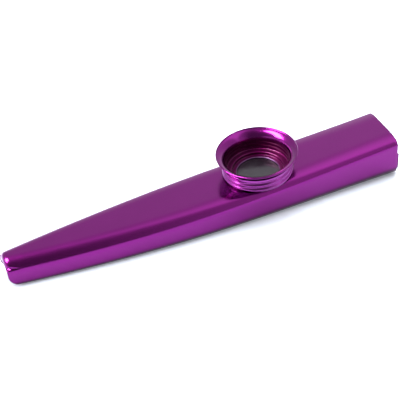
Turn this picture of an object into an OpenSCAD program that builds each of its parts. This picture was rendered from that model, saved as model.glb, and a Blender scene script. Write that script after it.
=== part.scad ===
// Kazoo: a pressed sheet body with a screwed turret that clamps a membrane.
// X runs along the body to the wide end, Z is up, and the body lies on Z = 0 with its middle at X = 0.

/* [Body] */
// Overall length, from the narrow end to the wide end
body_length = 120; // [105:1:150]
// Width at the narrow end, where the player hums
narrow_width = 8.2; // [8.1:0.1:10]
// Width at the widest place
widest_width = 19; // [18.4:0.1:24]
// Width at the wide end
wide_end_width = 17.6; // [14:0.1:24]
// Distance of the widest place from the narrow end
widest_place = 68.2; // [50:0.1:80]
// Height of the top face at the narrow end
narrow_height = 8.45; // [8.2:0.05:11]
// Height of the top face at mid length
middle_height = 9.75; // [9:0.05:12]
// Height of the top face at the wide end
wide_height = 13.05; // [10.5:0.05:16]
// Outer radius of the upper edges at the narrow end
narrow_edge_radius = 4; // [3.4:0.1:4]
// Outer radius of the upper edges at the wide end
wide_edge_radius = 2; // [1.2:0.1:3]
// Radius of the crown that leads from the flat of the top face into those edges at the wide end
wide_crown_radius = 15; // [6:0.5:18]
// Outer radius of the curled lower edges at the narrow end
narrow_curl_radius = 1.2; // [1.1:0.05:1.5]
// Outer radius of the curled lower edges at the wide end
wide_curl_radius = 2.8; // [1.2:0.05:3]
// Width of the flat flange inside each curled lower edge
flange_width = 1.2; // [0.4:0.1:1.5]
// Sheet thickness of the top shell
shell_sheet = 0.6; // [0.4:0.05:0.7]

/* [Ends of the top shell] */
// Depth of the lip that turns in at the narrow end
lip_depth = 2; // [1.7:0.1:2.4]
// Outer radius of the bend into that lip
lip_radius = 1.5; // [1:0.1:1.7]
// Radius of the lower corners of the side walls at the narrow end
corner_radius = 4.3; // [2:0.1:4.4]
// Distance that the bottom tray stands proud at the wide end
tray_proud = 0.9; // [0:0.1:1.2]

/* [Bottom tray] */
// Sheet thickness of the tray
tray_sheet = 0.5; // [0.3:0.05:0.6]
// Gap between the tray and the top shell
tray_gap = 0.08; // [0.05:0.01:0.12]
// Gap between the tray's floor panel and the flanges beside it
panel_gap = 0.15; // [0.1:0.05:0.3]
// Width of the sloped step between the floor panel and the flanges
panel_step = 0.4; // [0.2:0.1:0.6]
// Height of the tray's side walls at the narrow end
tray_narrow_height = 4; // [2.5:0.1:4.4]
// Height of the tray's side walls at the wide end
tray_wide_height = 7.2; // [4:0.1:8]

/* [Turret] */
// Distance of the turret's axis from the narrow end
turret_place = 77.7; // [70:0.1:84]
// Height of the cap's rim over the top face
turret_height = 6.9; // [6.86:0.02:7.4]
// Diameter over the thread ridges of the socket
socket_diameter = 20.9; // [20.7:0.1:22]
// Height of the socket's wall over the top face
socket_height = 4.65; // [4.2:0.05:4.65]
// Sheet thickness of the socket
socket_sheet = 0.35; // [0.3:0.01:0.4]
// Gap between the socket's floor and the top face, filled by the joint
seat_gap = 0.05; // [0.03:0.01:0.1]
// Clearance of the socket's spigot in its hole
spigot_clearance = 0.05; // [0.02:0.01:0.08]
// Reach of the socket's inner ledge under the membrane's frame
ledge_reach = 1.3; // [0.8:0.05:1.8]

/* [Thread] */
// Rise of the thread in one turn
thread_pitch = 1.55; // [1.3:0.05:1.8]
// Height of the thread ridges over their roots
thread_depth = 0.45; // [0.3:0.01:0.5]
// Height of the same ridges on the inner face of the cap
inner_ridge_depth = 0.15; // [0.1:0.01:0.3]
// Radial clearance between the threads of the cap and the socket
thread_clearance = 0.15; // [0.13:0.01:0.2]

/* [Membrane] */
// Outer diameter of the membrane's frame
frame_diameter = 15.6; // [15:0.1:15.8]
// Width of the ring that the membrane's frame is made of
frame_ring_width = 1.2; // [0.8:0.05:1.5]
// Thickness of the membrane's frame
frame_thickness = 0.8; // [0.6:0.05:1]
// Thickness of the membrane's film
film_thickness = 0.08; // [0.05:0.01:0.1]
// Radial clearance of the frame in the socket's spigot
frame_clearance = 0.1; // [0.05:0.01:0.15]
// Free play above and below the membrane
membrane_play = 0.02; // [0.01:0.01:0.05]

/* [Turret cap] */
// Diameter of the flared rim
rim_diameter = 23.8; // [22.6:0.1:26]
// Sheet thickness of the cap
cap_sheet = 0.4; // [0.3:0.01:0.45]
// Height over the top face at which the flare starts
flare_start = 3.6; // [3.4:0.02:3.7]
// Mid-sheet radius of the bend from the wall into the flare
flare_radius = 3; // [2:0.1:3]
// Radius of the rolled edge of the rim
rim_bead_radius = 0.26; // [0.24:0.01:0.32]
// Depth of the cap's upper floor step below the rim
upper_floor_depth = 6; // [5.6:0.02:6.04]
// Depth of the cap's lower floor below the rim
lower_floor_depth = 7; // [6.9:0.01:7.4]
// Width of the cap's lower floor round the sound hole
lower_floor_width = 1.6; // [1.3:0.05:2]
// Radial clearance of the cap's floor step in the socket's spigot
step_clearance = 0.1; // [0.05:0.01:0.15]

/* [Hidden] */
$fn = 96;

// Counts of steps in the curved stretches
edge_steps = 6;
crown_steps = 2;
curl_steps = 4;
wall_steps = 4;
lip_steps = 4;
length_steps = 20;
thread_sides = 40;
rows_per_pitch = 7;
flare_steps = 8;
bead_sides = 24;

// Starting slope of the sides in plan, over their mean slope to the widest place
side_slope_share = 1.84;
// Angle through which the crown turns, and the angles on the upper edges where the lip starts and is full
crown_angle = 15;
lip_start_angle = 20;
lip_full_angle = 40;
// Overrun of cuts
overrun = 1;

narrow_x = -body_length / 2;
wide_x = body_length / 2;
shell_end_x = wide_x - tray_proud;
widest_x = narrow_x + widest_place;

// Smooth rise from 0 to 1 that starts with the given slope and ends level
function eased(u, slope) = slope * u * (1 - u) * (1 - u) + u * u * (3 - 2 * u);

function clamp_share(u) = max(0, min(1, u));

// Half width of the body, outside
function half_width(x) =
    let (
        gain = eased((x - narrow_x) / widest_place, side_slope_share),
        loss = eased((x - widest_x) / (wide_x - widest_x), 0)
    )
    x < widest_x
    ? narrow_width / 2 + (widest_width - narrow_width) / 2 * gain
    : widest_width / 2 + (wide_end_width - widest_width) / 2 * loss;

// Height of the top face: a curve through the heights at both ends and the middle
function top_height(x) =
    let (u = 2 * x / body_length)
    middle_height + (wide_height - narrow_height) / 2 * u
    + ((wide_height + narrow_height) / 2 - middle_height) * u * u;

// A value that changes evenly from the narrow end to the wide end
function along(x, narrow_value, wide_value) =
    narrow_value + (wide_value - narrow_value) * (x - narrow_x) / body_length;
function edge_radius(x) = along(x, narrow_edge_radius, wide_edge_radius);
function crown_radius(x) = along(x, narrow_edge_radius, wide_crown_radius);
function curl_radius(x) = along(x, narrow_curl_radius, wide_curl_radius);

// Turret frame: its origin lies on the top face, and its axis is square to the face there
turret_x = narrow_x + turret_place;
turret_z = top_height(turret_x);
face_bow = (wide_height + narrow_height) / 2 - middle_height;
face_rise = (wide_height - narrow_height) / 2 + 2 * face_bow * 2 * turret_x / body_length;
turret_tilt = atan(face_rise * 2 / body_length);
module at_turret() {
    translate([turret_x, 0, turret_z])
    rotate([0, -turret_tilt, 0])
    children();
}

// Heights and radii of the turret's pieces in that frame
socket_floor = seat_gap + socket_sheet;
socket_root = socket_diameter / 2 - thread_depth;
spigot_bore = frame_diameter / 2 + frame_clearance;
spigot_radius = spigot_bore + socket_sheet;
cap_root = socket_root - socket_sheet - thread_clearance;
cap_bore = cap_root - cap_sheet;
cap_step_radius = spigot_bore - step_clearance;
frame_bore = frame_diameter - 2 * frame_ring_width;
ledge_hole = spigot_bore - ledge_reach;
cap_hole = cap_step_radius - lower_floor_width;
upper_floor_top = turret_height - upper_floor_depth;
upper_floor_under = upper_floor_top - cap_sheet;
lower_floor_top = turret_height - lower_floor_depth;
lower_floor_under = lower_floor_top - cap_sheet;
film_top = lower_floor_under - membrane_play;
frame_top = film_top - film_thickness;
ledge_top = frame_top - frame_thickness - membrane_play;
ledge_under = ledge_top - socket_sheet;

// Mid-sheet line of the flare: upright wall, bend, then a straight cone up to the rolled edge of the rim.
// The turn of the bend is worked out so that the cone runs off it in line.
flare_wall = cap_root - cap_sheet / 2;
rim_line = [rim_diameter / 2 - rim_bead_radius, turret_height - rim_bead_radius];
to_rim = rim_line - [flare_wall + flare_radius, flare_start];
flare_turn = 180 - atan2(to_rim[1], to_rim[0]) - acos(min(1, flare_radius / norm(to_rim)));

// Small laps between the rolled walls and the plain turned parts that they join
tuck_share = 0.1;
wall_lap = cap_sheet / 2;
wall_tuck = cap_sheet * tuck_share;

function unit(v) = v / norm(v);
function flatten(grid) = [for (row = grid) for (point = row) point];

// Outward direction at one point of a grid whose rows follow the length and whose columns go round
function grid_normal(grid, i, j) =
    let (
        last_i = len(grid) - 1,
        last_j = len(grid[0]) - 1,
        lengthwise = grid[min(i + 1, last_i)][j] - grid[max(i - 1, 0)][j],
        across = grid[i][min(j + 1, last_j)] - grid[i][max(j - 1, 0)]
    )
    unit(cross(lengthwise, across));

// The same grid moved inwards by the sheet thickness
function inner_grid(grid, sheet) = [
    for (i = [0:len(grid) - 1])
        [for (j = [0:len(grid[0]) - 1]) grid[i][j] - sheet * grid_normal(grid, i, j)]
];

// Two triangles for the four corners of a grid cell
function cell(a, b, c, d, flip) = flip ? [[a, c, b], [a, d, c]] : [[a, b, c], [a, c, d]];

// A sheet between an outer and an inner grid, closed along its edges.
// A ring joins its last column to its first.
module thick_sheet(outer, inner, ring = false) {
    rows = len(outer);
    cols = len(outer[0]);
    spans = ring ? cols : cols - 1;
    inside = rows * cols;
    last = (rows - 1) * cols;
    faces = [
        for (i = [0:rows - 2]) for (j = [0:spans - 1])
            let (a = i * cols + j, b = i * cols + (j + 1) % cols)
            each concat(
                cell(a, b, b + cols, a + cols, false),
                cell(a + inside, b + inside, b + cols + inside, a + cols + inside, true)
            ),
        for (j = [0:spans - 1])
            let (next = (j + 1) % cols)
            each concat(
                cell(j, next, next + inside, j + inside, true),
                cell(last + j, last + next, last + next + inside, last + j + inside, false)
            ),
        if (!ring) for (i = [0:rows - 2])
            let (a = i * cols, b = (i + 1) * cols, c = a + cols - 1, d = b + cols - 1)
            each concat(
                cell(a, b, b + inside, a + inside, false),
                cell(c, d, d + inside, c + inside, true)
            )
    ];
    polyhedron(concat(flatten(outer), flatten(inner)), faces, convexity = 10);
}

// Top shell, half of one section: flange, curled edge, side wall, upper edge, crown and top face.
// Each point is [across, up, angle], where the angle runs from 0 on a wall to 90 on the top face.
function shell_half(x) =
    let (
        w = half_width(x),
        h = top_height(x),
        curl = curl_radius(x),
        edge = edge_radius(x),
        crown = crown_radius(x),
        edge_turn = 90 - crown_angle,
        edge_z = h - crown + (crown - edge) * sin(edge_turn),
        crown_y = w - edge - (crown - edge) * cos(edge_turn)
    )
    concat(
        [[w - curl - flange_width, 0, 0]],
        [for (i = [0:curl_steps]) let (a = 90 * i / curl_steps)
            [w - curl + curl * sin(a), curl - curl * cos(a), 0]],
        [for (i = [1:wall_steps - 1]) [w, curl + (edge_z - curl) * i / wall_steps, 0]],
        [for (i = [0:edge_steps]) let (a = edge_turn * i / edge_steps)
            [w - edge + edge * cos(a), edge_z + edge * sin(a), a]],
        [for (i = [1:crown_steps]) let (a = edge_turn + crown_angle * i / crown_steps)
            [crown_y + crown * cos(a), h - crown + crown * sin(a), a]],
        [[0, h, 90]]
    );

// How far a point follows the lip: not at all on the walls, and fully on the upper edges and the top face
function lip_share(angle) =
    let (u = clamp_share((90 - abs(90 - angle) - lip_start_angle) / (lip_full_angle - lip_start_angle)))
    u * u * (3 - 2 * u);

// Path of the top face over the lip, from its inner end: [distance from the end, depth below the top]
lip_zone = corner_radius + lip_radius;
lip_path = concat(
    [[0, lip_depth]],
    [for (i = [0:lip_steps]) let (a = 90 * i / lip_steps)
        [lip_radius * (1 - cos(a)), lip_radius * (1 - sin(a))]],
    [[lip_zone, 0]]
);

// Distance by which the rounded lower corner sets a side wall back at a height
function corner_inset(z) =
    let (below = max(0, corner_radius - z))
    corner_radius - sqrt(corner_radius * corner_radius - below * below);

// A section's points from one lower edge, over the top face, to the other lower edge
function mirrored_points(half) =
    concat([for (p = half) [-p[0], p[1], 180 - p[2]]], [for (i = [len(half) - 2:-1:0]) half[i]]);

function plain_row(x) = [for (p = mirrored_points(shell_half(x))) [x, p[0], p[1]]];

// A row of the narrow end: each point is placed along the body first, then on the section there
function lip_row(i) =
    let (
        share = i / (len(lip_path) - 1),
        guide = mirrored_points(shell_half(narrow_x + lip_zone * share)),
        places = [for (p = guide)
            let (wall_x = corner_inset(p[1]) * (1 - share) + lip_zone * share, lip = lip_share(p[2]))
            narrow_x + wall_x * (1 - lip) + lip_path[i][0] * lip]
    )
    [for (j = [0:len(guide) - 1])
        let (p = mirrored_points(shell_half(places[j]))[j], depth = lip_path[i][1] * lip_share(p[2]))
        [places[j], p[0] - depth * cos(p[2]), p[1] - depth * sin(p[2])]];

shell_grid = concat(
    [for (i = [0:len(lip_path) - 1]) lip_row(i)],
    [for (i = [1:length_steps])
        plain_row(narrow_x + lip_zone + (shell_end_x - narrow_x - lip_zone) * i / length_steps)]
);

module top_shell() {
    color("#8a2f8c")
    difference() {
        thick_sheet(shell_grid, inner_grid(shell_grid, shell_sheet));
        at_turret()
        translate([0, 0, ledge_under])
        cylinder(r = spigot_radius + spigot_clearance, h = overrun - ledge_under);
    }
}

// Bottom tray, half of one section: floor panel, step over the flange, corner and side wall
function tray_half(x) =
    let (
        w = half_width(x) - shell_sheet - tray_gap,
        corner = curl_radius(x) - shell_sheet - tray_gap,
        panel = half_width(x) - curl_radius(x) - flange_width - panel_gap,
        raised = shell_sheet + tray_gap,
        wall_top = along(x, tray_narrow_height, tray_wide_height)
    )
    concat(
        [[w, wall_top, 0], [w, (wall_top + raised + corner) / 2, 0]],
        [for (i = [0:curl_steps]) let (a = 90 * i / curl_steps)
            [w - corner + corner * cos(a), raised + corner - corner * sin(a), 0]],
        [[panel, raised, 0], [panel - panel_step, 0, 0], [0, 0, 0]]
    );
tray_start_x = narrow_x + corner_radius;
tray_grid = [
    for (i = [0:length_steps])
        let (x = tray_start_x + (wide_x - tray_start_x) * i / length_steps)
        [for (p = mirrored_points(tray_half(x))) [x, -p[0], p[1]]]
];

module bottom_tray() {
    color("#7b2a7e")
    thick_sheet(tray_grid, inner_grid(tray_grid, tray_sheet));
}

// Height of a rolled ridge at an angle and a height, as a share of the thread's depth
function ridge_share(angle, z) = (1 + cos(360 * z / thread_pitch - angle)) / 2;

// Rows of a rolled wall: [height, share of the ridges' height, level between ridges, tuck of both faces]
function rolled_ring(row, radius, depth) = [
    for (i = [0:thread_sides - 1])
        let (
            angle = -360 * i / thread_sides,
            ridge = row[1] * ridge_share(angle, row[0]) + (1 - row[1]) * row[2],
            r = radius + depth * ridge
        )
        [r * cos(angle), r * sin(angle), row[0]]
];

// A sheet wall with a helical thread rolled into it, with its own height of ridge on the inner face
module rolled_wall(rows, root_radius, sheet, inner_depth) {
    thick_sheet(
        [for (row = rows) rolled_ring(row, root_radius - row[3], thread_depth)],
        [for (row = rows) rolled_ring(row, root_radius - sheet + row[3], inner_depth)],
        true
    );
}

// The socket's ridges grow from its floor and open to the full ridge radius at its mouth
fade_share = 0.33;
mouth_share = 0.6;
fade_height = thread_pitch * fade_share;
mouth_height = thread_pitch * mouth_share;
socket_wall_bottom = seat_gap + wall_tuck;
socket_row_count = ceil((socket_height - socket_wall_bottom) / thread_pitch * rows_per_pitch);
socket_rows = [
    for (i = [0:socket_row_count])
        let (
            z = socket_wall_bottom + (socket_height - socket_wall_bottom) * i / socket_row_count,
            rise = clamp_share((z - socket_wall_bottom) / fade_height),
            mouth = clamp_share((z - socket_height) / mouth_height + 1)
        )
        [z, min(rise, 1 - mouth), mouth > 0 ? 1 : 0, 0]
];

module turret_socket() {
    color("#8a2f8c")
    at_turret() {
        rolled_wall(socket_rows, socket_root, socket_sheet, thread_depth);
        rotate_extrude()
        polygon([
            [ledge_hole, ledge_under],
            [spigot_radius, ledge_under],
            [spigot_radius, seat_gap],
            [socket_root - socket_sheet / 2, seat_gap],
            [socket_root - socket_sheet / 2, socket_floor],
            [spigot_bore, socket_floor],
            [spigot_bore, ledge_top],
            [ledge_hole, ledge_top]
        ]);
    }
}

module membrane_frame() {
    color("#e9e6e0")
    at_turret()
    translate([0, 0, frame_top - frame_thickness])
    rotate_extrude()
    translate([frame_bore / 2, 0])
    square([frame_ring_width, frame_thickness]);
}

module membrane_film() {
    color("#c9c6c8")
    at_turret()
    translate([0, 0, frame_top])
    cylinder(d = frame_diameter, h = film_thickness);
}

// The cap's ridges grow from its floor and fade again below the flare
cap_wall_bottom = upper_floor_under - wall_tuck;
cap_wall_top = flare_start + wall_lap;
cap_row_count = ceil((cap_wall_top - cap_wall_bottom) / thread_pitch * rows_per_pitch);
cap_rows = [
    for (i = [0:cap_row_count])
        let (
            z = cap_wall_bottom + (cap_wall_top - cap_wall_bottom) * i / cap_row_count,
            rise = clamp_share((z - cap_wall_bottom - fade_height) / fade_height),
            fall = clamp_share((flare_start - z) / fade_height)
        )
        [z, min(rise, fall), 0, wall_tuck * (1 - fall)]
];

// A point of the flare's sheet at an angle along the bend, offset from its mid line
function flare_point(turn, offset) = [
    flare_wall + flare_radius * (1 - cos(turn)) + offset * cos(turn),
    flare_start + (flare_radius - offset) * sin(turn)
];
function flare_cone_point(offset) = rim_line + offset * [cos(flare_turn), -sin(flare_turn)];

module flare() {
    tenon = wall_lap + wall_tuck;
    rotate_extrude()
    polygon(concat(
        [[cap_bore, flare_start], [cap_bore + 2 * wall_tuck, flare_start - tenon],
            [cap_root - 2 * wall_tuck, flare_start - tenon]],
        [for (i = [0:flare_steps]) flare_point(flare_turn * i / flare_steps, cap_sheet / 2)],
        [flare_cone_point(cap_sheet / 2), flare_cone_point(-cap_sheet / 2)],
        [for (i = [flare_steps:-1:1]) flare_point(flare_turn * i / flare_steps, -cap_sheet / 2)]
    ));
    translate([0, 0, rim_line[1]])
    rotate_extrude()
    translate([rim_line[0], 0])
    circle(r = rim_bead_radius, $fn = bead_sides);
}

module cap_floor() {
    rim_radius = cap_root - cap_sheet / 2;
    rotate_extrude()
    polygon([
        [cap_hole, lower_floor_under],
        [cap_step_radius, lower_floor_under],
        [cap_step_radius, upper_floor_under],
        [rim_radius, upper_floor_under],
        [rim_radius, upper_floor_top],
        [cap_step_radius - cap_sheet, upper_floor_top],
        [cap_step_radius - cap_sheet, lower_floor_top],
        [cap_hole, lower_floor_top]
    ]);
}

module turret_cap() {
    color("#93358f")
    at_turret() {
        cap_floor();
        rolled_wall(cap_rows, cap_root, cap_sheet, inner_ridge_depth);
        flare();
    }
}

top_shell();
bottom_tray();
turret_socket();
membrane_frame();
membrane_film();
turret_cap();
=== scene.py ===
import bpy
import bmesh
import math
from mathutils import Vector, Matrix, noise


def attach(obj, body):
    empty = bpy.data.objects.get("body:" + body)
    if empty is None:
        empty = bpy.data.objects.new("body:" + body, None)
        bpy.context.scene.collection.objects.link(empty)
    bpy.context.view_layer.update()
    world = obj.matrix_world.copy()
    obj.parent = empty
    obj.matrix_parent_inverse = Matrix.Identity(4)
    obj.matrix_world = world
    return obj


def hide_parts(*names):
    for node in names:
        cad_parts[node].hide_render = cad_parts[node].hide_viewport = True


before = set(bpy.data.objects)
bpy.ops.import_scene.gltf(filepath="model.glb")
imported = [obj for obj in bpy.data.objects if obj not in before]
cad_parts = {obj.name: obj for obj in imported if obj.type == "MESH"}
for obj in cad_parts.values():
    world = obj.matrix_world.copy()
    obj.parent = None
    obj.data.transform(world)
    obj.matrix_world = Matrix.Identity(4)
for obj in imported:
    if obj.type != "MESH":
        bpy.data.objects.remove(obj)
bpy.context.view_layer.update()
print("frame loaded")

# all lengths in the dictionaries are millimetres, and meshes are turned to metres when they are made
mm = 0.001


def linear(hexColour):
    # sRGB hex to the linear colour that Blender's sockets take
    parts = [int(hexColour[i:i + 2], 16) / 255 for i in (1, 3, 5)]
    return tuple(c / 12.92 if c <= 0.04045 else ((c + 0.055) / 1.055) ** 2.4 for c in parts) + (1.0,)


def addNode(tree, kind, settings=None, links=None):
    # one node with its settings (attributes or socket values) and its incoming links
    node = tree.nodes.new(kind)
    for name, value in (settings or {}).items():
        if isinstance(name, str) and hasattr(node, name):
            setattr(node, name, value)
        else:
            node.inputs[name].default_value = value
    for name, (source, output) in (links or {}).items():
        tree.links.new(source.outputs[output], node.inputs[name])
    return node


def newMaterial(name):
    material = bpy.data.materials.new(name)
    material.use_nodes = True
    material.node_tree.nodes.clear()
    return material, material.node_tree


# the pressed body, as large as in the part's source
body = {
    "length": 120.0, "narrowWidth": 8.2, "widestWidth": 19.0, "wideEndWidth": 17.6, "widestPlace": 68.2,
    "narrowHeight": 8.45, "middleHeight": 9.75, "wideHeight": 13.05,
    "narrowEdge": 4.0, "wideEdge": 2.0, "wideCrown": 15.0, "crownAngle": math.radians(15),
    "narrowCurl": 1.2, "wideCurl": 2.8,
    "flange": 1.2, "sheet": 0.6, "sideSlope": 1.84,
    "lipDepth": 2.0, "lipStart": math.radians(20), "lipFull": math.radians(40), "lipRadius": 1.5,
    "lipEndShare": 1 / 6, "lipRunShare": 5 / 6, "lipEndSteps": 4, "lipRunSteps": 8,
    "cornerRadius": 4.3, "trayProud": 0.9,
    "edgeSteps": 22, "crownSteps": 8, "curlSteps": 12,
    "wallSteps": 10, "topSteps": 5, "lipSteps": 14, "lengthSteps": 120,
    "edgeRound": 0.13,
}
narrowX = -body["length"] / 2
wideX = body["length"] / 2
widestX = narrowX + body["widestPlace"]
lipZone = body["cornerRadius"] + body["lipRadius"]


def clamp(u):
    return max(0.0, min(1.0, u))


def eased(u, slope):
    return slope * u * (1 - u) ** 2 + u * u * (3 - 2 * u)


def halfWidth(x):
    narrow, widest, wide = body["narrowWidth"], body["widestWidth"], body["wideEndWidth"]
    if x < widestX:
        u = (x - narrowX) / body["widestPlace"]
        return narrow / 2 + (widest - narrow) / 2 * eased(u, body["sideSlope"])
    u = (x - widestX) / (wideX - widestX)
    return widest / 2 + (wide - widest) / 2 * eased(u, 0)


def topHeight(x):
    u = 2 * x / body["length"]
    low, middle, high = body["narrowHeight"], body["middleHeight"], body["wideHeight"]
    return middle + (high - low) / 2 * u + ((high + low) / 2 - middle) * u * u


def along(x, narrow, wide):
    return narrow + (wide - narrow) * (x - narrowX) / body["length"]


def mirrored(half):
    return [(-p[0],) + p[1:] for p in half] + half[-2::-1]


def shellSection(x):
    # flange, curled lower edge, side wall, upper edge, crown and top face,
    # each point with its angle from the wall
    w, h = halfWidth(x), topHeight(x)
    curl = along(x, body["narrowCurl"], body["wideCurl"])
    edge = along(x, body["narrowEdge"], body["wideEdge"])
    crown = along(x, body["narrowEdge"], body["wideCrown"])
    turn = math.pi / 2 - body["crownAngle"]
    edgeZ = h - crown + (crown - edge) * math.sin(turn)
    crownY = w - edge - (crown - edge) * math.cos(turn)
    half = [(w - curl - body["flange"], 0.0, 0.0), (w - curl - body["flange"] / 2, 0.0, 0.0)]
    for i in range(body["curlSteps"] + 1):
        a = math.pi / 2 * i / body["curlSteps"]
        half.append((w - curl + curl * math.sin(a), curl - curl * math.cos(a), 0.0))
    for i in range(1, body["wallSteps"]):
        half.append((w, curl + (edgeZ - curl) * i / body["wallSteps"], 0.0))
    for i in range(body["edgeSteps"] + 1):
        a = turn * i / body["edgeSteps"]
        half.append((w - edge + edge * math.cos(a), edgeZ + edge * math.sin(a), a))
    for i in range(1, body["crownSteps"] + 1):
        a = turn + body["crownAngle"] * i / body["crownSteps"]
        half.append((crownY + crown * math.cos(a), h - crown + crown * math.sin(a), a))
    for i in range(1, body["topSteps"] + 1):
        half.append((crownY * (1 - i / body["topSteps"]), h, math.pi / 2))
    return [(-p[0], p[1], math.pi - p[2]) for p in half] + half[-2::-1]


def lipPath():
    # (share of the way into the body, distance from the end, depth below the surface)
    depth, radius, steps = body["lipDepth"], body["lipRadius"], body["lipSteps"]
    endShare, runShare = body["lipEndShare"], body["lipRunShare"]
    path = []
    for i in range(body["lipEndSteps"]):
        u = i / body["lipEndSteps"]
        path.append((endShare * u, 0.0, depth + (radius - depth) * u))
    for i in range(steps + 1):
        a = math.pi / 2 * i / steps
        share = endShare + (runShare - endShare) * i / steps
        path.append((share, radius * (1 - math.cos(a)), radius * (1 - math.sin(a))))
    for i in range(1, body["lipRunSteps"] + 1):
        u = i / body["lipRunSteps"]
        path.append((runShare + (1 - runShare) * u, radius + (lipZone - radius) * u, 0.0))
    return path


def cornerInset(z):
    r = body["cornerRadius"]
    return r - math.sqrt(max(0.0, r * r - (r - z) ** 2)) if z < r else 0.0


def lipShare(angle):
    # the lip grows out of the upper edges between two angles from the wall
    turned = math.pi / 2 - abs(math.pi / 2 - angle)
    u = clamp((turned - body["lipStart"]) / (body["lipFull"] - body["lipStart"]))
    return u * u * (3 - 2 * u)


def shellGrid():
    grid = []
    for share, distance, depth in lipPath():
        row = []
        for j, p in enumerate(shellSection(narrowX + lipZone * share)):
            wallX = cornerInset(p[1]) * (1 - share) + lipZone * share
            lip = lipShare(p[2])
            x = narrowX + wallX * (1 - lip) + distance * lip
            y, z, angle = shellSection(x)[j]
            row.append(Vector((x, y - depth * lip * math.cos(angle), z - depth * lip * math.sin(angle))))
        grid.append(row)
    start, end = narrowX + lipZone, wideX - body["trayProud"]
    for i in range(1, body["lengthSteps"] + 1):
        x = start + (end - start) * i / body["lengthSteps"]
        grid.append([Vector((x, p[0], p[1])) for p in shellSection(x)])
    return grid


def innerGrid(grid, sheet):
    # the same grid moved inwards by the sheet's thickness
    rows, cols = len(grid), len(grid[0])
    inner = []
    for i in range(rows):
        row = []
        for j in range(cols):
            lengthwise = grid[min(i + 1, rows - 1)][j] - grid[max(i - 1, 0)][j]
            across = grid[i][min(j + 1, cols - 1)] - grid[i][max(j - 1, 0)]
            row.append(grid[i][j] - sheet * lengthwise.cross(across).normalized())
        inner.append(row)
    return inner


def sheetMesh(name, outer, inner):
    # a sheet between two grids, closed along its four edges
    rows, cols = len(outer), len(outer[0])
    size = rows * cols
    points = [p * mm for row in outer for p in row] + [p * mm for row in inner for p in row]
    faces = []
    for i in range(rows - 1):
        for j in range(cols - 1):
            a = i * cols + j
            faces.append((a, a + 1, a + cols + 1, a + cols))
            faces.append((a + size, a + cols + size, a + cols + 1 + size, a + 1 + size))
    for j in range(cols - 1):
        a, b = j, (rows - 1) * cols + j
        faces.append((a, a + size, a + 1 + size, a + 1))
        faces.append((b, b + 1, b + 1 + size, b + size))
    for i in range(rows - 1):
        a, b = i * cols, i * cols + cols - 1
        faces.append((a, a + cols, a + cols + size, a + size))
        faces.append((b, b + size, b + cols + size, b + cols))
    return newObject(name, points, faces)


def newObject(name, points, faces):
    mesh = bpy.data.meshes.new(name)
    mesh.from_pydata([tuple(p) for p in points], [], faces)
    shape = bmesh.new()
    shape.from_mesh(mesh)
    bmesh.ops.recalc_face_normals(shape, faces=shape.faces)
    shape.to_mesh(mesh)
    shape.free()
    piece = bpy.data.objects.new(name, mesh)
    bpy.context.scene.collection.objects.link(piece)
    return piece


def roundEdges(piece, width, segments=3, angle=50):
    bevel = piece.modifiers.new("rounded edges", "BEVEL")
    bevel.width = width * mm
    bevel.segments = segments
    bevel.limit_method = "ANGLE"
    bevel.angle_limit = math.radians(angle)
    bevel.harden_normals = False


def settle(piece, sharpAngle=35):
    # applies the modifiers and shades the surface smooth, with sharp edges kept
    graph = bpy.context.evaluated_depsgraph_get()
    mesh = bpy.data.meshes.new_from_object(piece.evaluated_get(graph))
    piece.modifiers.clear()
    piece.data = mesh
    mesh.name = piece.name
    mesh.polygons.foreach_set("use_smooth", [True] * len(mesh.polygons))
    mesh.set_sharp_from_angle(angle=math.radians(sharpAngle))
    mesh.update()
    return piece


shellOuter = shellGrid()
topShell = sheetMesh("top_shell_pressed", shellOuter, innerGrid(shellOuter, body["sheet"]))
roundEdges(topShell, body["edgeRound"])
print("top shell made")

tray = {"sheet": 0.5, "gap": 0.08, "panelGap": 0.15, "panelStep": 0.4, "narrowHeight": 4.0, "wideHeight": 7.2,
        "cornerSteps": 10, "wallSteps": 6, "panelSteps": 4, "lengthSteps": 110,
        "edgeRound": 0.1, "roundAngle": 60}


def traySection(x):
    w = halfWidth(x) - body["sheet"] - tray["gap"]
    curl = along(x, body["narrowCurl"], body["wideCurl"])
    corner = curl - body["sheet"] - tray["gap"]
    panel = halfWidth(x) - curl - body["flange"] - tray["panelGap"]
    raised = body["sheet"] + tray["gap"]
    top = along(x, tray["narrowHeight"], tray["wideHeight"])
    half = []
    for i in range(tray["wallSteps"]):
        half.append((w, top + (raised + corner - top) * i / tray["wallSteps"]))
    for i in range(tray["cornerSteps"] + 1):
        a = math.pi / 2 * i / tray["cornerSteps"]
        half.append((w - corner + corner * math.cos(a), raised + corner - corner * math.sin(a)))
    half.append((panel + (w - corner - panel) / 2, raised))
    half += [(panel, raised), (panel - tray["panelStep"], 0.0)]
    for i in range(1, tray["panelSteps"] + 1):
        half.append(((panel - tray["panelStep"]) * (1 - i / tray["panelSteps"]), 0.0))
    return mirrored(half)


trayStart = narrowX + body["cornerRadius"]
trayOuter = []
for i in range(tray["lengthSteps"] + 1):
    x = trayStart + (wideX - trayStart) * i / tray["lengthSteps"]
    trayOuter.append([Vector((x, -p[0], p[1])) for p in traySection(x)])
bottomTray = sheetMesh("bottom_tray_folded", trayOuter, innerGrid(trayOuter, tray["sheet"]))
roundEdges(bottomTray, tray["edgeRound"], angle=tray["roundAngle"])
print("bottom tray made")

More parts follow.
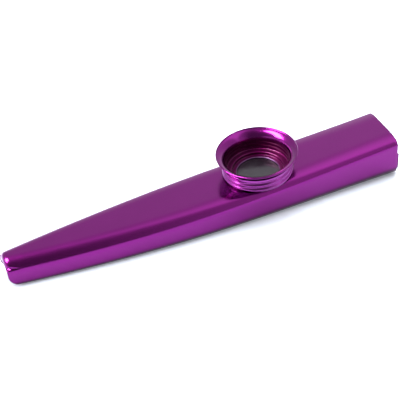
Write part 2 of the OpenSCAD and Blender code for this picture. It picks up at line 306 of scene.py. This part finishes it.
# the turret: socket, membrane and screwed cap on one axis
turret = {
    "place": 77.7, "height": 6.9, "pitch": 1.55, "depth": 0.45, "fadeShare": 0.33, "mouthShare": 0.6,
    "socketDiameter": 20.9, "socketHeight": 4.65, "socketSheet": 0.35, "seatGap": 0.05, "ledgeReach": 1.3,
    "threadClearance": 0.15, "frameDiameter": 15.6, "frameRing": 1.2, "frameThickness": 0.8,
    "frameClearance": 0.1, "film": 0.08, "play": 0.02,
    "rimDiameter": 23.8, "capSheet": 0.4, "flareStart": 3.6, "flareRadius": 3.0, "bead": 0.26,
    "upperFloor": 6.0, "lowerFloor": 7.0, "lowerFloorWidth": 1.6, "stepClearance": 0.1, "insideDepth": 0.15,
    "ridgeStart": 0.04, "wallBand": 0.45,
    "flareSteps": 16, "beadTurn": (-89.7, 169.7), "beadSteps": 24,
    "sides": 220, "rowSpacing": 0.1, "frameSides": 160, "frameSpacing": 0.4, "sharpAngle": 60,
}
turretX = narrowX + turret["place"]
turretZ = topHeight(turretX)
nearby = 0.01
slope = (topHeight(turretX + nearby) - topHeight(turretX - nearby)) / (2 * nearby)
turretTilt = math.atan(slope)
turretFrame = Matrix.Translation((turretX * mm, 0, turretZ * mm)) @ Matrix.Rotation(-turretTilt, 4, "Y")

fade = turret["pitch"] * turret["fadeShare"]
mouthFade = turret["pitch"] * turret["mouthShare"]
socketFloor = turret["seatGap"] + turret["socketSheet"]
socketRoot = turret["socketDiameter"] / 2 - turret["depth"]
spigotBore = turret["frameDiameter"] / 2 + turret["frameClearance"]
spigotRadius = spigotBore + turret["socketSheet"]
capRoot = socketRoot - turret["socketSheet"] - turret["threadClearance"]
capBore = capRoot - turret["capSheet"]
stepRadius = spigotBore - turret["stepClearance"]
frameBore = turret["frameDiameter"] / 2 - turret["frameRing"]
ledgeHole = spigotBore - turret["ledgeReach"]
capHole = stepRadius - turret["lowerFloorWidth"]
upperTop = turret["height"] - turret["upperFloor"]
upperUnder = upperTop - turret["capSheet"]
lowerTop = turret["height"] - turret["lowerFloor"]
lowerUnder = lowerTop - turret["capSheet"]
filmTop = lowerUnder - turret["play"]
frameTop = filmTop - turret["film"]
ledgeTop = frameTop - turret["frameThickness"] - turret["play"]
ledgeUnder = ledgeTop - turret["socketSheet"]


def ridge(angle, z):
    # the rolled thread: a right-hand helix of rounded ridges
    return (1 + math.cos(2 * math.pi * z / turret["pitch"] - angle)) / 2


def filleted(corners, steps=7):
    # a closed outline whose corners (r, z, radius) are rounded
    outline = []
    count = len(corners)
    for i, (r, z, radius) in enumerate(corners):
        here = Vector((r, z))
        back = Vector(corners[i - 1][:2]) - here
        ahead = Vector(corners[(i + 1) % count][:2]) - here
        if radius <= 0:
            outline.append(here)
            continue
        back.normalize()
        ahead.normalize()
        half = back.angle(ahead) / 2
        centre = here + (back + ahead).normalized() * radius / math.sin(half)
        start, end = here + back * radius / math.tan(half), here + ahead * radius / math.tan(half)
        a, b = start - centre, end - centre
        sweep = a.angle_signed(b)
        for k in range(steps + 1):
            t = -sweep * k / steps
            outline.append(centre + a * math.cos(t) + Vector((-a.y, a.x)) * math.sin(t))
    return outline


def subdivided(outline, spacing):
    fine = []
    for i, p in enumerate(outline):
        q = outline[(i + 1) % len(outline)]
        parts = max(1, math.ceil((q - p).length / spacing))
        fine += [p.lerp(q, k / parts) for k in range(parts)]
    return fine


def spunSheet(name, outline, wallShift, sides):
    # turns a closed outline round the turret's axis; wallShift gives the ridges' push at an angle
    points, faces = [], []
    count = len(outline)
    for i in range(sides):
        angle = 2 * math.pi * i / sides
        for p in outline:
            r = p.x + wallShift(p.x, p.y, angle)
            x, y = r * math.cos(angle), r * math.sin(angle)
            points.append(turretFrame @ Vector((x * mm, y * mm, p.y * mm)))
    for i in range(sides):
        for j in range(count):
            here, ahead = i * count, (i + 1) % sides * count
            k = (j + 1) % count
            faces.append((here + j, here + k, ahead + k, ahead + j))
    return newObject(name, points, faces)


def socketShift(r, z, angle):
    rise = clamp((z - turret["seatGap"] - turret["ridgeStart"]) / fade)
    mouth = clamp((z - turret["socketHeight"]) / mouthFade + 1)
    weight = min(rise, 1 - mouth)
    level = 1.0 if mouth > 0 else 0.0
    inWall = clamp((r - socketRoot + turret["socketSheet"] + turret["wallBand"]) / turret["wallBand"])
    return turret["depth"] * (weight * ridge(angle, z) + (1 - weight) * level) * inWall


# the radii of the socket's bends: outside, inside, at the foot of the spigot, and on the sheet's cut edges
socketBend = {"outside": 0.4, "inside": 0.08, "foot": 0.06, "cut": 0.16}
wallInner = socketRoot - turret["socketSheet"]
socketOutline = filleted([
    (ledgeHole, ledgeUnder, socketBend["cut"]), (spigotRadius, ledgeUnder, socketBend["outside"]),
    (spigotRadius, turret["seatGap"], socketBend["foot"]),
    (socketRoot, turret["seatGap"], socketBend["outside"]),
    (socketRoot, turret["socketHeight"], socketBend["cut"]),
    (wallInner, turret["socketHeight"], socketBend["cut"]),
    (wallInner, socketFloor, socketBend["inside"]), (spigotBore, socketFloor, socketBend["outside"]),
    (spigotBore, ledgeTop, socketBend["inside"]), (ledgeHole, ledgeTop, socketBend["cut"]),
])
socketFine = subdivided(socketOutline, turret["rowSpacing"])
turretSocket = spunSheet("turret_socket_rolled", socketFine, socketShift, turret["sides"])
settle(turretSocket, turret["sharpAngle"])
print("socket made")

# the flare bends out of the wall until its last straight part points at the rolled edge of the rim
flareWall = capRoot - turret["capSheet"] / 2
flareBottom = turret["flareStart"]
rimX, rimZ = turret["rimDiameter"] / 2 - turret["bead"], turret["height"] - turret["bead"]
toRim = Vector((rimX - flareWall - turret["flareRadius"], rimZ - flareBottom))
flareTurn = math.pi - math.atan2(toRim.y, toRim.x) - math.acos(min(1.0, turret["flareRadius"] / toRim.length))


def capShift(r, z, angle):
    rise = clamp((z - upperUnder + turret["ridgeStart"] - fade) / fade)
    fall = clamp((flareBottom - z) / fade)
    inWall = clamp((r - capBore + turret["wallBand"]) / turret["wallBand"])
    # the ridges show more softly inside the cup than outside
    outward = clamp((r - capBore) / turret["capSheet"])
    depth = turret["insideDepth"] + (turret["depth"] - turret["insideDepth"]) * outward
    return depth * min(rise, fall) * ridge(angle, z) * inWall


# the radii of the cap's bends, and the height at which its plain outline hands over to the flare
capBend = {"floor": 0.22, "stepFoot": 0.15, "hole": 0.17, "step": 0.28, "stepTop": 0.1, "corner": 0.4,
           "wallFrom": 2.0}


def capOutline():
    # floor and hole first, then up the outside, round the bead, and down the inside
    half = turret["capSheet"] / 2
    stepInner = stepRadius - turret["capSheet"]
    outline = filleted([
        (capBore, capBend["wallFrom"], 0), (capBore, upperTop, capBend["floor"]),
        (stepInner, upperTop, capBend["floor"]), (stepInner, lowerTop, capBend["stepFoot"]),
        (capHole, lowerTop, capBend["hole"]), (capHole, lowerUnder, capBend["hole"]),
        (stepRadius, lowerUnder, capBend["step"]), (stepRadius, upperUnder, capBend["stepTop"]),
        (capRoot, upperUnder, capBend["corner"]), (capRoot, capBend["wallFrom"], 0),
    ])
    start, end = turret["beadTurn"]
    for side in (1, -1):
        bendPoints = []
        for i in range(turret["flareSteps"] + 1):
            a = flareTurn * i / turret["flareSteps"]
            bendPoints.append(Vector((
                flareWall + turret["flareRadius"] * (1 - math.cos(a)) + side * half * math.cos(a),
                flareBottom + turret["flareRadius"] * math.sin(a) - side * half * math.sin(a))))
        if side == 1:
            outline += bendPoints
            for i in range(turret["beadSteps"] + 1):
                a = math.radians(start + (end - start) * i / turret["beadSteps"])
                x, z = rimX + turret["bead"] * math.cos(a), rimZ + turret["bead"] * math.sin(a)
                outline.append(Vector((x, z)))
        else:
            outline += bendPoints[::-1]
    return outline


capFine = subdivided(capOutline(), turret["rowSpacing"])
turretCap = spunSheet("turret_cap_rolled", capFine, capShift, turret["sides"])
settle(turretCap, turret["sharpAngle"])
print("cap made")

frameRound = 0.12
frameUnder = frameTop - turret["frameThickness"]
frameRadius = turret["frameDiameter"] / 2
frameOutline = filleted([
    (frameBore, frameUnder, frameRound), (frameRadius, frameUnder, frameRound),
    (frameRadius, frameTop, frameRound), (frameBore, frameTop, frameRound),
])


def noShift(r, z, angle):
    return 0.0


frameFine = subdivided(frameOutline, turret["frameSpacing"])
membraneFrame = spunSheet("membrane_frame_ring", frameFine, noShift, turret["frameSides"])
settle(membraneFrame, turret["sharpAngle"])

film = {"radius": frameRadius, "heldEdge": 0.2, "wrinkle": 0.03, "slackSize": 5.0,
        "slackShift": (3.1, 0.7, 5.0), "pullShare": 2.2, "pullLength": 9.0, "rings": 40, "sides": 160}
freeRadius = frameBore - film["heldEdge"]


def filmHeight(r, angle):
    # a taut film with faint pulls that run in from its frame
    if r >= freeRadius:
        return 0.0
    x, y, share, size = math.cos(angle), math.sin(angle), film["pullShare"], film["slackSize"]
    pulls = noise.noise(Vector((x * share, y * share, r / film["pullLength"])))
    slack = noise.noise(Vector((r * x / size, r * y / size, 0)) + Vector(film["slackShift"]))
    return film["wrinkle"] * (pulls + slack) * math.sin(math.pi * r / freeRadius)


filmPoints, filmFaces = [], []
for side in (1, -1):
    base = len(filmPoints)
    z0 = filmTop - turret["film"] * (0.0 if side == 1 else 1.0)
    filmPoints.append(turretFrame @ Vector((0, 0, z0 * mm)))
    for i in range(1, film["rings"] + 1):
        r = film["radius"] * i / film["rings"]
        for j in range(film["sides"]):
            a = 2 * math.pi * j / film["sides"]
            x, y, z = r * math.cos(a), r * math.sin(a), z0 + filmHeight(r, a)
            filmPoints.append(turretFrame @ (Vector((x, y, z)) * mm))
    for j in range(film["sides"]):
        k = (j + 1) % film["sides"]
        filmFaces.append((base, base + 1 + j, base + 1 + k))
        for i in range(film["rings"] - 1):
            a, b = base + 1 + i * film["sides"], base + 1 + (i + 1) * film["sides"]
            filmFaces.append((a + j, b + j, b + k, a + k))
size = len(filmPoints) // 2
rim = 1 + (film["rings"] - 1) * film["sides"]
for j in range(film["sides"]):
    k = (j + 1) % film["sides"]
    filmFaces.append((rim + j, rim + j + size, rim + k + size, rim + k))
membraneFilm = newObject("membrane_film_disc", filmPoints, filmFaces)
settle(membraneFilm, turret["sharpAngle"])
print("membrane made")


def drum(name, radius, low, high, sides):
    points = []
    for z in (low, high):
        for i in range(sides):
            angle = 2 * math.pi * i / sides
            x, y = radius * math.cos(angle), radius * math.sin(angle)
            points.append(turretFrame @ Vector((x * mm, y * mm, z * mm)))
    faces = [tuple(range(sides)), tuple(range(2 * sides - 1, sides - 1, -1))]
    faces += [(i, i + sides, (i + 1) % sides + sides, (i + 1) % sides) for i in range(sides)]
    return newObject(name, points, faces)


# the hole in the top face that the socket's spigot stands in
spigotHole = {"clearance": 0.05, "top": 1.0, "sides": 128}
holeRadius = spigotRadius + spigotHole["clearance"]
cutter = drum("cutter", holeRadius, ledgeUnder, spigotHole["top"], spigotHole["sides"])
cut = topShell.modifiers.new("spigot hole", "BOOLEAN")
cut.operation = "DIFFERENCE"
cut.solver = "EXACT"
cut.object = cutter
settle(topShell)
settle(bottomTray)
bpy.data.objects.remove(cutter)
print("holes cut")

# dyes go from light to deep, and roughnesses from low to high; the lines run along X on the pressed body and
# round the axis on the rolled turret
anodised = {
    # the socket's paler pair of dyes is a painted highlight for the bright floor mirrored in its ridges
    "dyes": ("#6c0865", "#65075f"), "trayDyes": ("#5f0859", "#570651"), "socketHighlightDyes": ("#822c80", "#792676"),
    "shellRough": (0.17, 0.24), "trayRough": (0.16, 0.22), "turretRough": (0.17, 0.22),
    "bodyLines": (120.0, 4000.0, 4000.0), "turretLines": (300.0, 300.0, 6000.0),
    "coat": 0.26, "coatRoughness": 0.14,
    # the inside values make the cup's hollow duller and paint it deeper and redder, as painted shade
    "insideShadeDye": "#50043c", "insideDull": 0.2, "insideEdge": (9.2, 9.45),
    "holeEdge": (6.4, 6.5), "holeEdgeDye": "#5e3a60",
    # these values paint shade low on the shell: a darker colour along its rolled-in lower edge
    "paintedLowShadeEdge": (1.1, 2.9), "paintedLowShadeRise": 0.014, "paintedLowShade": 0.9, "paintedLowShadeDye": "#2c052b",
}


def anodisedAluminium(name, dyes, roughness, lines, cup=False, paintedLowShade=0.0):
    # Aluminium sheet, bright-dipped and dyed violet under a clear anodic film. The metal gives the deep
    # coloured mirror, the film a thin white one, and the forming leaves faint lines.
    material, tree = newMaterial(name)
    lightDye, deepDye = dyes
    place = addNode(tree, "ShaderNodeTexCoord")
    # dye shade drifts over about 15 mm
    drift = addNode(tree, "ShaderNodeTexNoise", {"Scale": 65.0, "Detail": 3.0}, {"Vector": (place, "Object")})
    dye = addNode(tree, "ShaderNodeMix", {"data_type": "RGBA"}, {0: (drift, 0)})
    dye.inputs[6].default_value = linear(deepDye)
    dye.inputs[7].default_value = linear(lightDye)
    # forming lines, 0.25 mm apart on the body and 0.17 mm on the turret, coarser than the real ones so that
    # they show
    stretch = addNode(tree, "ShaderNodeMapping", {"Scale": lines}, {"Vector": (place, "Object")})
    grain = addNode(tree, "ShaderNodeTexNoise", {"Scale": 1.0, "Detail": 4.0},
                    {"Vector": (stretch, "Vector")})
    rough = addNode(tree, "ShaderNodeMapRange", {1: 0.3, 2: 0.7, 3: roughness[0], 4: roughness[1]},
                    {0: (grain, 0)})
    # handling leaves slight clouds on the gloss, about 4 mm across
    clouds = addNode(tree, "ShaderNodeTexNoise", {"Scale": 250.0, "Detail": 5.0},
                     {"Vector": (place, "Object")})
    haze = addNode(tree, "ShaderNodeMapRange", {1: 0.45, 2: 0.75, 3: 0.0, 4: 0.03}, {0: (clouds, 0)})
    glossSum = addNode(tree, "ShaderNodeMath", {"operation": "ADD"}, {0: (rough, 0), 1: (haze, 0)})
    # the inside of the turret's cup is duller, and it is painted deeper and redder: painted shade for the
    # hollow of the cup
    aroundAxis = addNode(tree, "ShaderNodeMapping", {
        "vector_type": "TEXTURE",
        "Location": turretFrame.to_translation(), "Rotation": turretFrame.to_euler(),
    }, {"Vector": (place, "Object")})
    flat = addNode(tree, "ShaderNodeVectorMath", {"operation": "MULTIPLY", 1: (1.0, 1.0, 0.0)},
                   {0: (aroundAxis, 0)})
    radius = addNode(tree, "ShaderNodeVectorMath", {"operation": "LENGTH"}, {0: (flat, 0)})
    inside = addNode(tree, "ShaderNodeMapRange", {
        1: anodised["insideEdge"][0] * mm, 2: anodised["insideEdge"][1] * mm, 3: 1.0, 4: 0.0,
    }, {0: (radius, "Value")})
    roughSum = addNode(tree, "ShaderNodeMath", {
        "operation": "MULTIPLY_ADD", 1: anodised["insideDull"] if cup else 0.0,
    }, {0: (inside, 0), 2: (glossSum, 0)})
    cupShadedDye = addNode(tree, "ShaderNodeMix", {"data_type": "RGBA"}, {0: (inside, 0), 6: (dye, 2)})
    cupShadedDye.inputs[7].default_value = linear(anodised["insideShadeDye"] if cup else lightDye)
    # the punched edge round the cap's hole is worn, and greyer than the rest
    edge = addNode(tree, "ShaderNodeMapRange", {
        1: anodised["holeEdge"][0] * mm, 2: anodised["holeEdge"][1] * mm, 3: 1.0 if cup else 0.0, 4: 0.0,
    }, {0: (radius, "Value")})
    dyeAndCupShade = addNode(tree, "ShaderNodeMix", {"data_type": "RGBA"}, {0: (edge, 0), 6: (cupShadedDye, 2)})
    dyeAndCupShade.inputs[7].default_value = linear(anodised["holeEdgeDye"])
    # the shell is painted darker low down, a painted shade along its rolled-in lower edge, and the
    # painted shade reaches higher on the larger curl of the wide end
    lowness = addNode(tree, "ShaderNodeVectorMath", {
        "operation": "DOT_PRODUCT", 1: (-anodised["paintedLowShadeRise"], 0.0, 1.0),
    }, {0: (place, "Object")})
    lowShadeMask = addNode(tree, "ShaderNodeMapRange", {
        "interpolation_type": "SMOOTHSTEP", 1: anodised["paintedLowShadeEdge"][0] * mm, 2: anodised["paintedLowShadeEdge"][1] * mm,
        3: paintedLowShade, 4: 0.0,
    }, {0: (lowness, "Value")})
    shadedDye = addNode(tree, "ShaderNodeMix", {"data_type": "RGBA"}, {0: (lowShadeMask, 0), 6: (dyeAndCupShade, 2)})
    shadedDye.inputs[7].default_value = linear(anodised["paintedLowShadeDye"])
    bump = addNode(tree, "ShaderNodeBump", {"Strength": 0.04, "Distance": 0.00002}, {"Height": (grain, 0)})
    shader = addNode(tree, "ShaderNodeBsdfPrincipled", {
        "Metallic": 1.0, "Coat Weight": anodised["coat"],
        "Coat Roughness": anodised["coatRoughness"], "Coat IOR": 1.5,
    }, {"Base Color": (shadedDye, 2), "Roughness": (roughSum, 0), "Normal": (bump, 0)})
    addNode(tree, "ShaderNodeOutputMaterial", None, {"Surface": (shader, 0)})
    return material


shellMetal = anodisedAluminium(
    "anodised aluminium, pressed shell", anodised["dyes"], anodised["shellRough"], anodised["bodyLines"],
    paintedLowShade=anodised["paintedLowShade"])
trayMetal = anodisedAluminium(
    "anodised aluminium, folded tray", anodised["trayDyes"], anodised["trayRough"], anodised["bodyLines"])
# the socket is given paler dyes than the cap, a painted highlight for the bright floor mirrored in its ridges
socketMetal = anodisedAluminium(
    "anodised aluminium, rolled socket", anodised["socketHighlightDyes"], anodised["turretRough"],
    anodised["turretLines"], cup=True)
turretMetal = anodisedAluminium(
    "anodised aluminium, rolled turret", anodised["dyes"], anodised["turretRough"],
    anodised["turretLines"], cup=True)


def framePlastic():
    # Moulded polystyrene ring: matt off-white with a fine moulded grain
    material, tree = newMaterial("moulded polystyrene, off-white")
    place = addNode(tree, "ShaderNodeTexCoord")
    grain = addNode(tree, "ShaderNodeTexNoise", {"Scale": 3000.0, "Detail": 3.0},
                    {"Vector": (place, "Object")})
    shade = addNode(tree, "ShaderNodeMix", {"data_type": "RGBA"}, {0: (grain, 0)})
    shade.inputs[6].default_value = linear("#dcd8cf")
    shade.inputs[7].default_value = linear("#ebe8e1")
    bump = addNode(tree, "ShaderNodeBump", {"Strength": 0.2, "Distance": 0.00002}, {"Height": (grain, 0)})
    shader = addNode(tree, "ShaderNodeBsdfPrincipled", {"Roughness": 0.45, "IOR": 1.5},
                     {"Base Color": (shade, 2), "Normal": (bump, 0)})
    addNode(tree, "ShaderNodeOutputMaterial", None, {"Surface": (shader, 0)})
    return material


def filmPlastic():
    # Clear polymer film: it looks dark grey over the dark body, with a soft gloss and faint crinkles
    # 1.5 mm apart
    material, tree = newMaterial("stretched polymer film, smoky")
    place = addNode(tree, "ShaderNodeTexCoord")
    crinkle = addNode(tree, "ShaderNodeTexNoise", {"Scale": 650.0, "Distortion": 0.6},
                      {"Vector": (place, "Object")})
    shade = addNode(tree, "ShaderNodeMix", {"data_type": "RGBA"}, {0: (crinkle, 0)})
    shade.inputs[6].default_value = linear("#20171e")
    shade.inputs[7].default_value = linear("#291e26")
    rough = addNode(tree, "ShaderNodeMapRange", {1: 0.3, 2: 0.7, 3: 0.12, 4: 0.2}, {0: (crinkle, 0)})
    bump = addNode(tree, "ShaderNodeBump", {"Strength": 0.05, "Distance": 0.00005}, {"Height": (crinkle, 0)})
    shader = addNode(tree, "ShaderNodeBsdfPrincipled", {"IOR": 1.45, "Transmission Weight": 0.5},
                     {"Base Color": (shade, 2), "Roughness": (rough, 0), "Normal": (bump, 0)})
    addNode(tree, "ShaderNodeOutputMaterial", None, {"Surface": (shader, 0)})
    return material


pieces = [
    (topShell, "top_shell", "body", shellMetal, "shell_metal"),
    (bottomTray, "bottom_tray", "body", trayMetal, "tray_metal"),
    (turretSocket, "turret_socket", "body", socketMetal, "shell_metal"),
    (membraneFrame, "membrane_frame", "membrane", framePlastic(), "frame_plastic"),
    (membraneFilm, "membrane_film", "membrane", filmPlastic(), "film_plastic"),
    (turretCap, "turret_cap", "cap", turretMetal, "cap_metal"),
]
for piece, node, bodyName, material, slotName in pieces:
    piece.data.materials.clear()
    piece.data.materials.append(material)
    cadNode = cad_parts[node]
    for slot in cadNode.material_slots:
        slot.material = material
    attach(piece, bodyName)
    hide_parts(node)
print("finishes set")

# the stage, the camera and the lights are in metres
stage = {"floorSize": 6.0, "floorDrop": 0.00002, "floorGlow": 0.12, "floorGlowColour": (0.85, 0.94, 1.0, 1),
         "floorShade": "#ececf2"}
floorMesh = bpy.data.meshes.new("floor")
half = stage["floorSize"] / 2
corners = [(-half, -half, 0), (half, -half, 0), (half, half, 0), (-half, half, 0)]
floorMesh.from_pydata(corners, [], [(0, 1, 2, 3)])
floor = bpy.data.objects.new("floor", floorMesh)
bpy.context.scene.collection.objects.link(floor)
floor.location.z = -stage["floorDrop"]
# a pale matt table top, which glows a little so that it reads as white
paper, tree = newMaterial("white table")
surface = addNode(tree, "ShaderNodeBsdfPrincipled", {
    "Base Color": linear(stage["floorShade"]), "Roughness": 0.7,
    "Emission Color": stage["floorGlowColour"], "Emission Strength": stage["floorGlow"]})
addNode(tree, "ShaderNodeOutputMaterial", None, {"Surface": (surface, 0)})
floorMesh.materials.append(paper)

# as fitted to the photo and then framed to its outline, with focal length and centre in its pixels
camera = {"turn": 20.913, "drop": 39.613, "roll": -3.818, "distance": 0.350, "focal": 1214.0, "pixels": 400,
          "centre": (202.880, 199.948), "aim": (0.0, 0.0, 0.006), "sensor": 36, "clip": (0.01, 50)}
a, e, roll = (math.radians(camera[k]) for k in ("turn", "drop", "roll"))
forward = Vector((math.sin(a) * math.cos(e), math.cos(a) * math.cos(e), -math.sin(e)))
right = Vector((math.cos(a), -math.sin(a), 0))
up = right.cross(forward)
rightTurned = math.cos(roll) * right + math.sin(roll) * up
upTurned = -math.sin(roll) * right + math.cos(roll) * up
middle = camera["pixels"] / 2
sideStep = (camera["centre"][0] - middle) / camera["focal"] * camera["distance"]
upStep = -(camera["centre"][1] - middle) / camera["focal"] * camera["distance"]
spot = Vector(camera["aim"]) - forward * camera["distance"] - rightTurned * sideStep - upTurned * upStep
eye = bpy.data.cameras.new("camera")
eye.sensor_width = camera["sensor"]
eye.lens = camera["focal"] / camera["pixels"] * camera["sensor"]
eye.clip_start, eye.clip_end = camera["clip"]
eyeObject = bpy.data.objects.new("camera", eye)
bpy.context.scene.collection.objects.link(eyeObject)
turnMatrix = Matrix((rightTurned, upTurned, -forward)).transposed()
eyeObject.matrix_world = Matrix.Translation(spot) @ turnMatrix.to_4x4()
bpy.context.scene.camera = eyeObject

# The room that the metal mirrors, by direction: a pale wall beyond that dims towards the camera's side,
# which is darker to the left, a bright panel overhead and right of the middle with a slanting near edge, and
# a pale low wall to the left.
room = {
    "far": 1.5, "farDim": 1.1, "farSide": (0.0, 0.3),
    "nearEdge": (-0.6, 0.6), "nearDark": 0.3, "nearPale": 1.2, "nearSide": (-0.1, 0.35),
    "panelSide": (-0.2, 0.4), "panel": 3.0, "panelEdge": (-0.35, 0.25), "panelSlant": (1.68, 1.0, -0.15),
    "panelFar": (0.25, 0.85), "panelRight": (0.45, 0.75),
    "left": 2.2, "leftSide": (-0.9, -0.55), "leftHeight": (0.1, 0.5),
    "colour": (0.95, 0.95, 1.0, 1),
}
world = bpy.data.worlds.new("studio")
bpy.context.scene.world = world
world.use_nodes = True
tree = world.node_tree
tree.nodes.clear()
place = addNode(tree, "ShaderNodeTexCoord")
way = addNode(tree, "ShaderNodeSeparateXYZ", None, {0: (place, "Generated")})
near = addNode(tree, "ShaderNodeMapRange", {
    "interpolation_type": "SMOOTHSTEP", 1: room["nearSide"][0], 2: room["nearSide"][1],
    3: room["nearDark"], 4: room["nearPale"]}, {0: (way, "X")})
far = addNode(tree, "ShaderNodeMapRange", {
    1: room["farSide"][0], 2: room["farSide"][1], 3: room["farDim"], 4: room["far"]}, {0: (way, "X")})
walls = addNode(tree, "ShaderNodeMapRange", {
    "interpolation_type": "SMOOTHSTEP", 1: room["nearEdge"][0], 2: room["nearEdge"][1],
}, {0: (way, "Y"), 3: (near, 0), 4: (far, 0)})
slant = addNode(tree, "ShaderNodeVectorMath", {"operation": "DOT_PRODUCT", 1: room["panelSlant"]},
                {0: (place, "Generated")})
panelEdge = addNode(tree, "ShaderNodeMapRange", {
    "interpolation_type": "SMOOTHSTEP", 1: room["panelEdge"][0], 2: room["panelEdge"][1], 3: 0.0, 4: 1.0,
}, {0: (slant, "Value")})
panelAcross = addNode(tree, "ShaderNodeMapRange", {
    "interpolation_type": "SMOOTHSTEP", 1: room["panelSide"][0], 2: room["panelSide"][1],
    3: 0.0, 4: room["panel"],
}, {0: (way, "X")})
panelBack = addNode(tree, "ShaderNodeMapRange", {
    "interpolation_type": "SMOOTHSTEP", 1: room["panelFar"][0], 2: room["panelFar"][1], 3: 1.0, 4: 0.0,
}, {0: (way, "Y")})
panelRight = addNode(tree, "ShaderNodeMapRange", {
    "interpolation_type": "SMOOTHSTEP", 1: room["panelRight"][0], 2: room["panelRight"][1], 3: 1.0, 4: 0.0,
}, {0: (way, "X")})
panelPlan = addNode(tree, "ShaderNodeMath", {"operation": "MULTIPLY"},
                    {0: (panelAcross, 0), 1: (panelBack, 0)})
panelBand = addNode(tree, "ShaderNodeMath", {"operation": "MULTIPLY"},
                    {0: (panelPlan, 0), 1: (panelRight, 0)})
panelGlow = addNode(tree, "ShaderNodeMath", {"operation": "MULTIPLY"},
                    {0: (panelBand, 0), 1: (panelEdge, 0)})
leftAcross = addNode(tree, "ShaderNodeMapRange", {
    "interpolation_type": "SMOOTHSTEP", 1: room["leftSide"][0], 2: room["leftSide"][1],
    3: room["left"], 4: 0.0,
}, {0: (way, "X")})
leftUp = addNode(tree, "ShaderNodeMapRange", {
    "interpolation_type": "SMOOTHSTEP", 1: room["leftHeight"][0], 2: room["leftHeight"][1], 3: 1.0, 4: 0.0,
}, {0: (way, "Z")})
leftWall = addNode(tree, "ShaderNodeMath", {"operation": "MULTIPLY"}, {0: (leftAcross, 0), 1: (leftUp, 0)})
ceiling = addNode(tree, "ShaderNodeMath", {"operation": "MAXIMUM"}, {0: (walls, 0), 1: (panelGlow, 0)})
light = addNode(tree, "ShaderNodeMath", {"operation": "MAXIMUM"}, {0: (ceiling, 0), 1: (leftWall, 0)})
background = addNode(tree, "ShaderNodeBackground", {"Color": room["colour"]}, {"Strength": (light, 0)})
addNode(tree, "ShaderNodeOutputWorld", None, {"Surface": (background, 0)})


def softLight(name, width, depth, radiance, tint, position, target):
    # a rectangle of even radiance, which is its power over pi and its area
    light = bpy.data.lights.new(name, "AREA")
    light.shape = "RECTANGLE"
    light.size, light.size_y, light.energy = width, depth, radiance * math.pi * width * depth
    light.color = tint
    holder = bpy.data.objects.new(name, light)
    bpy.context.scene.collection.objects.link(holder)
    holder.location = position
    holder.rotation_euler = (Vector(target) - Vector(position)).to_track_quat("-Z", "Y").to_euler()
    return holder


# the panel overhead lights the floor and is kept out of the mirror, and the window is for the mirror alone
panel = softLight("overhead panel", width=1.2, depth=1.0, radiance=6.6, tint=(0.82, 0.95, 1.0),
                  position=(0.0, 0.35, 0.85), target=(0, 0, 0))
panel.visible_glossy = False
window = softLight("window at the left", width=0.24, depth=0.45, radiance=42.0, tint=(1.0, 1.0, 1.0),
                   position=(-0.35, 0.1, 0.44), target=(0.02, 0, 0.015))
window.visible_diffuse = False
bpy.context.scene.view_settings.view_transform = "Standard"
print("stage set")
